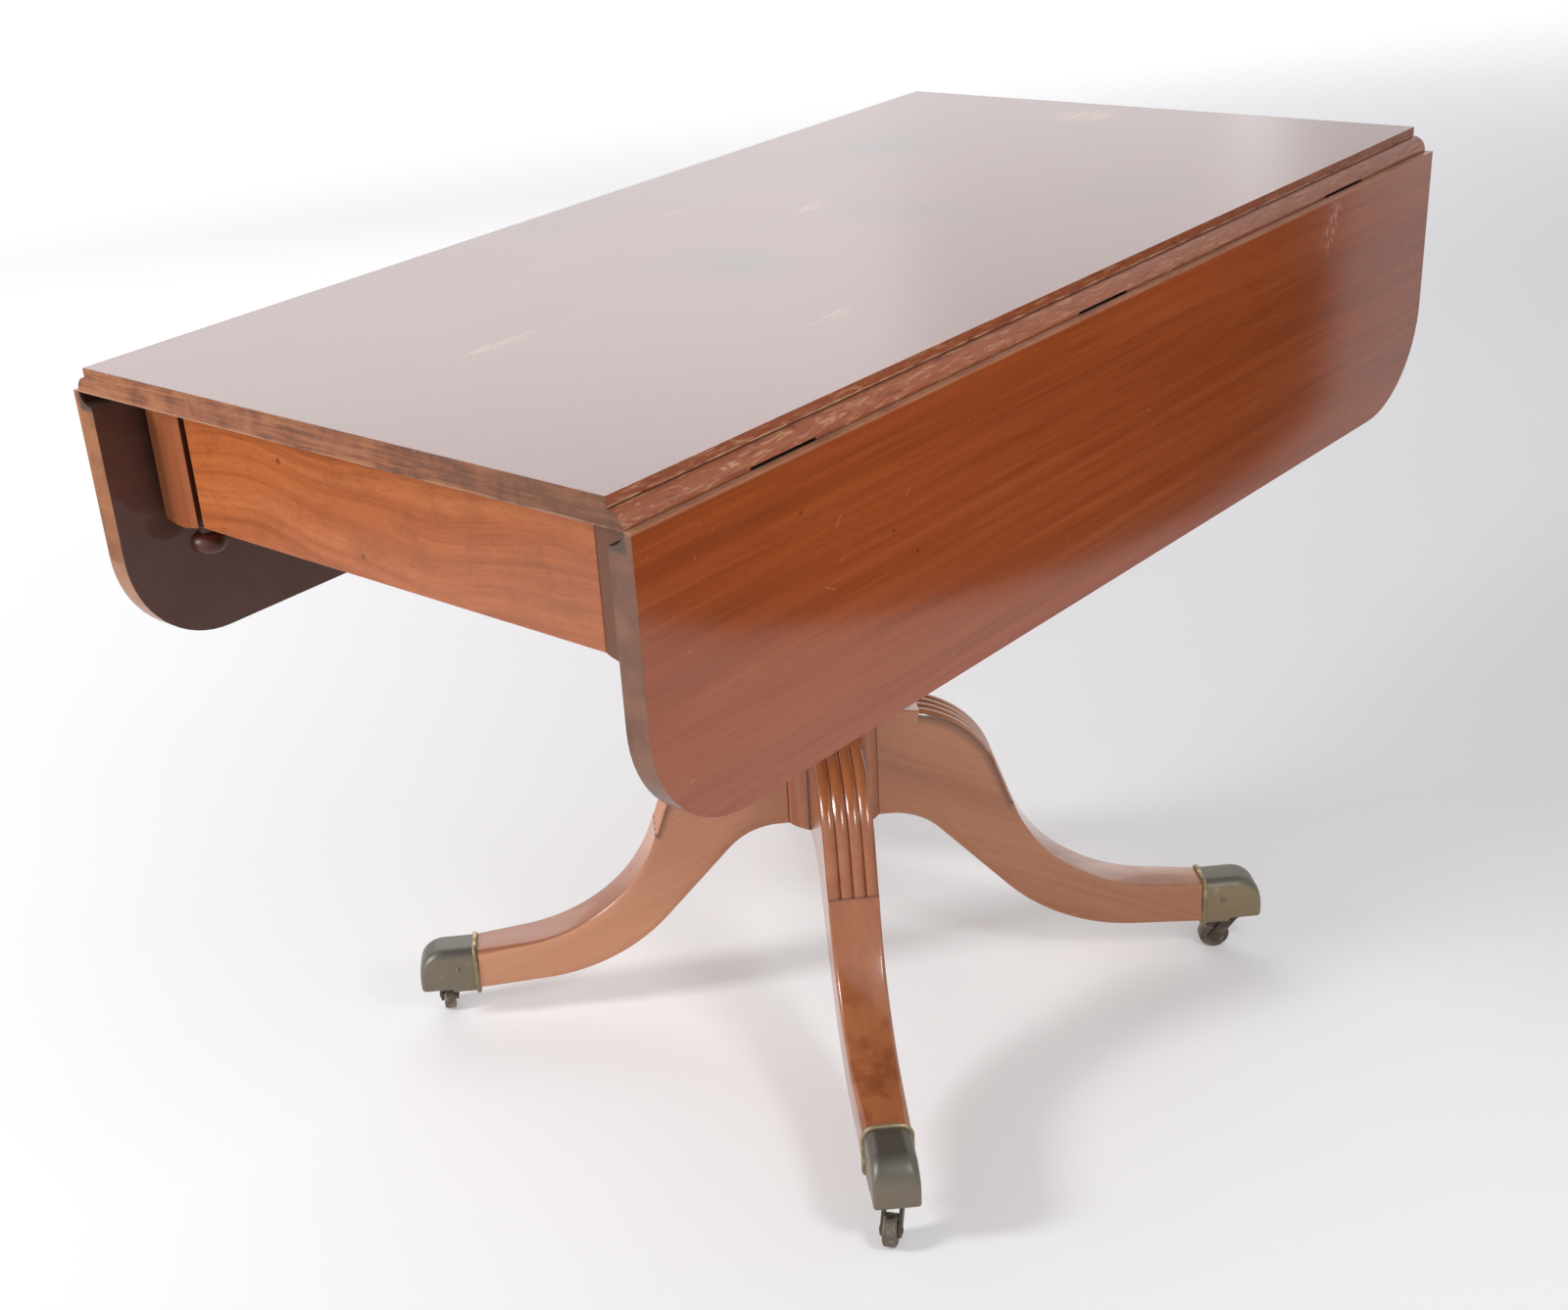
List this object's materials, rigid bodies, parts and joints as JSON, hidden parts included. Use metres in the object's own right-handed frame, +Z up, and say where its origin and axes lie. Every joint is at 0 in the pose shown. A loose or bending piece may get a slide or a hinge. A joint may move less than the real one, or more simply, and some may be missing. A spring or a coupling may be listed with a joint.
{
  "type": "drop-leaf pedestal side table",
  "caption": "Drop-leaf side table on a turned column with reeded sabre legs and brass box castors, end drawer and hinged leaves.",
  "frame": {"origin": "on the floor under the middle of the table", "axes": "+Z up; +Y along the table's length, away from the drawer; +X towards the right leaf"},
  "size_m": [0.594, 1.04, 0.72],
  "materials": {
    "top_wood": "french-polished mahogany, reddish brown with darker figure",
    "leaf_wood": "french-polished straight-grained mahogany",
    "frieze_wood": "french-polished orange-brown mahogany",
    "frame_wood": "unpolished secondary hardwood",
    "drawer_wood": "raw oak drawer linings",
    "leg_wood": "french-polished reddish mahogany",
    "castor_brass": "brass with a dull dark patina",
    "castor_wheel": "worn dark brass",
    "hinge_iron": "dark wrought iron",
    "screw_steel": "aged steel"
  },
  "bodies": {
    "table": {"top_board": "top_wood", "corner_block_front_right": "frieze_wood", "corner_block_front_left": "frieze_wood", "corner_block_back_right": "frieze_wood", "corner_block_back_left": "frieze_wood", "end_rail": "frieze_wood", "bun_finials": "frieze_wood", "side_rail_left": "frame_wood", "side_rail_right": "frame_wood", "side_facing_left": "frame_wood", "side_facing_right": "frame_wood", "cross_bearers": "frame_wood", "pillar_block": "frame_wood", "drawer_runner_left": "frame_wood", "drawer_runner_right": "frame_wood", "drawer_kickers": "frame_wood", "column": "leg_wood", "leg_front_right": "leg_wood", "leg_front_left": "leg_wood", "leg_back_right": "leg_wood", "leg_back_left": "leg_wood", "castor_cup_front_right": "castor_brass", "castor_cup_front_left": "castor_brass", "castor_cup_back_right": "castor_brass", "castor_cup_back_left": "castor_brass", "castor_cup_screws": "castor_brass", "hinge_flaps_top": "hinge_iron", "hinge_pins": "hinge_iron", "leg_plate": "hinge_iron", "bracket_pins": "hinge_iron", "hinge_screws_top": "screw_steel", "top_screws": "screw_steel", "leg_plate_screws": "screw_steel"},
    "leaf_right": {"leaf_right": "leaf_wood", "hinge_flaps_leaf_right": "hinge_iron", "hinge_screws_leaf_right": "screw_steel"},
    "leaf_left": {"leaf_left": "leaf_wood", "hinge_flaps_leaf_left": "hinge_iron", "hinge_screws_leaf_left": "screw_steel"},
    "drawer": {"drawer_front": "frieze_wood", "drawer_side_left": "drawer_wood", "drawer_side_right": "drawer_wood", "drawer_back": "drawer_wood", "drawer_bottom": "drawer_wood"},
    "bracket_front_right": {"fly_bracket_front_right": "frame_wood"},
    "horn_front_right": {"castor_horn_front_right": "castor_brass", "castor_axle_front_right": "castor_brass"},
    "wheel_front_right": {"castor_wheel_front_right": "castor_wheel"},
    "bracket_front_left": {"fly_bracket_front_left": "frame_wood"},
    "horn_front_left": {"castor_horn_front_left": "castor_brass", "castor_axle_front_left": "castor_brass"},
    "wheel_front_left": {"castor_wheel_front_left": "castor_wheel"},
    "bracket_back_right": {"fly_bracket_back_right": "frame_wood"},
    "horn_back_right": {"castor_horn_back_right": "castor_brass", "castor_axle_back_right": "castor_brass"},
    "wheel_back_right": {"castor_wheel_back_right": "castor_wheel"},
    "bracket_back_left": {"fly_bracket_back_left": "frame_wood"},
    "horn_back_left": {"castor_horn_back_left": "castor_brass", "castor_axle_back_left": "castor_brass"},
    "wheel_back_left": {"castor_wheel_back_left": "castor_wheel"}
  },
  "joints": [
    {"name": "leaf_right_hinge", "type": "hinge", "parent": "table", "child": "leaf_right", "pos_m": [0.27, 0, 0.701], "axis": [0, -1, 0], "range_deg": [0, 90]},
    {"name": "leaf_left_hinge", "type": "hinge", "parent": "table", "child": "leaf_left", "pos_m": [-0.27, 0, 0.701], "axis": [0, 1, 0], "range_deg": [0, 90]},
    {"name": "drawer_slide", "type": "slide", "parent": "table", "child": "drawer", "axis": [0, -1, 0], "range_m": [0, 0.3]},
    {"name": "bracket_front_right_pivot", "type": "hinge", "parent": "table", "child": "bracket_front_right", "pos_m": [0.25, -0.13, 0.59], "axis": [0, 0, 1], "range_deg": [0, 2.4]},
    {"name": "bracket_front_left_pivot", "type": "hinge", "parent": "table", "child": "bracket_front_left", "pos_m": [-0.25, -0.13, 0.59], "axis": [0, 0, -1], "range_deg": [0, 2.4]},
    {"name": "bracket_back_right_pivot", "type": "hinge", "parent": "table", "child": "bracket_back_right", "pos_m": [0.25, 0.13, 0.59], "axis": [0, 0, -1], "range_deg": [0, 2.4]},
    {"name": "bracket_back_left_pivot", "type": "hinge", "parent": "table", "child": "bracket_back_left", "pos_m": [-0.25, 0.13, 0.59], "axis": [0, 0, 1], "range_deg": [0, 2.4]},
    {"name": "castor_front_right_swivel", "type": "hinge", "parent": "table", "child": "horn_front_right", "pos_m": [0.26799, -0.26799, 0.034], "axis": [0, 0, 1], "continuous": true},
    {"name": "castor_front_right_roll", "type": "hinge", "parent": "horn_front_right", "child": "wheel_front_right", "pos_m": [0.27501, -0.28237, 0.014], "axis": [0.8988, 0.4384, 0], "continuous": true},
    {"name": "castor_front_left_swivel", "type": "hinge", "parent": "table", "child": "horn_front_left", "pos_m": [-0.26799, -0.26799, 0.034], "axis": [0, 0, 1], "continuous": true},
    {"name": "castor_front_left_roll", "type": "hinge", "parent": "horn_front_left", "child": "wheel_front_left", "pos_m": [-0.28025, -0.25771, 0.014], "axis": [-0.6428, -0.766, 0], "continuous": true},
    {"name": "castor_back_right_swivel", "type": "hinge", "parent": "table", "child": "horn_back_right", "pos_m": [0.26799, 0.26799, 0.034], "axis": [0, 0, 1], "continuous": true},
    {"name": "castor_back_right_roll", "type": "hinge", "parent": "horn_back_right", "child": "wheel_back_right", "pos_m": [0.25592, 0.2575, 0.014], "axis": [0.6561, -0.7547, 0], "continuous": true},
    {"name": "castor_back_left_swivel", "type": "hinge", "parent": "table", "child": "horn_back_left", "pos_m": [-0.26799, 0.26799, 0.034], "axis": [0, 0, 1], "continuous": true},
    {"name": "castor_back_left_roll", "type": "hinge", "parent": "horn_back_left", "child": "wheel_back_left", "pos_m": [-0.27077, 0.28375, 0.014], "axis": [-0.9848, -0.1736, 0], "continuous": true}
  ]
}
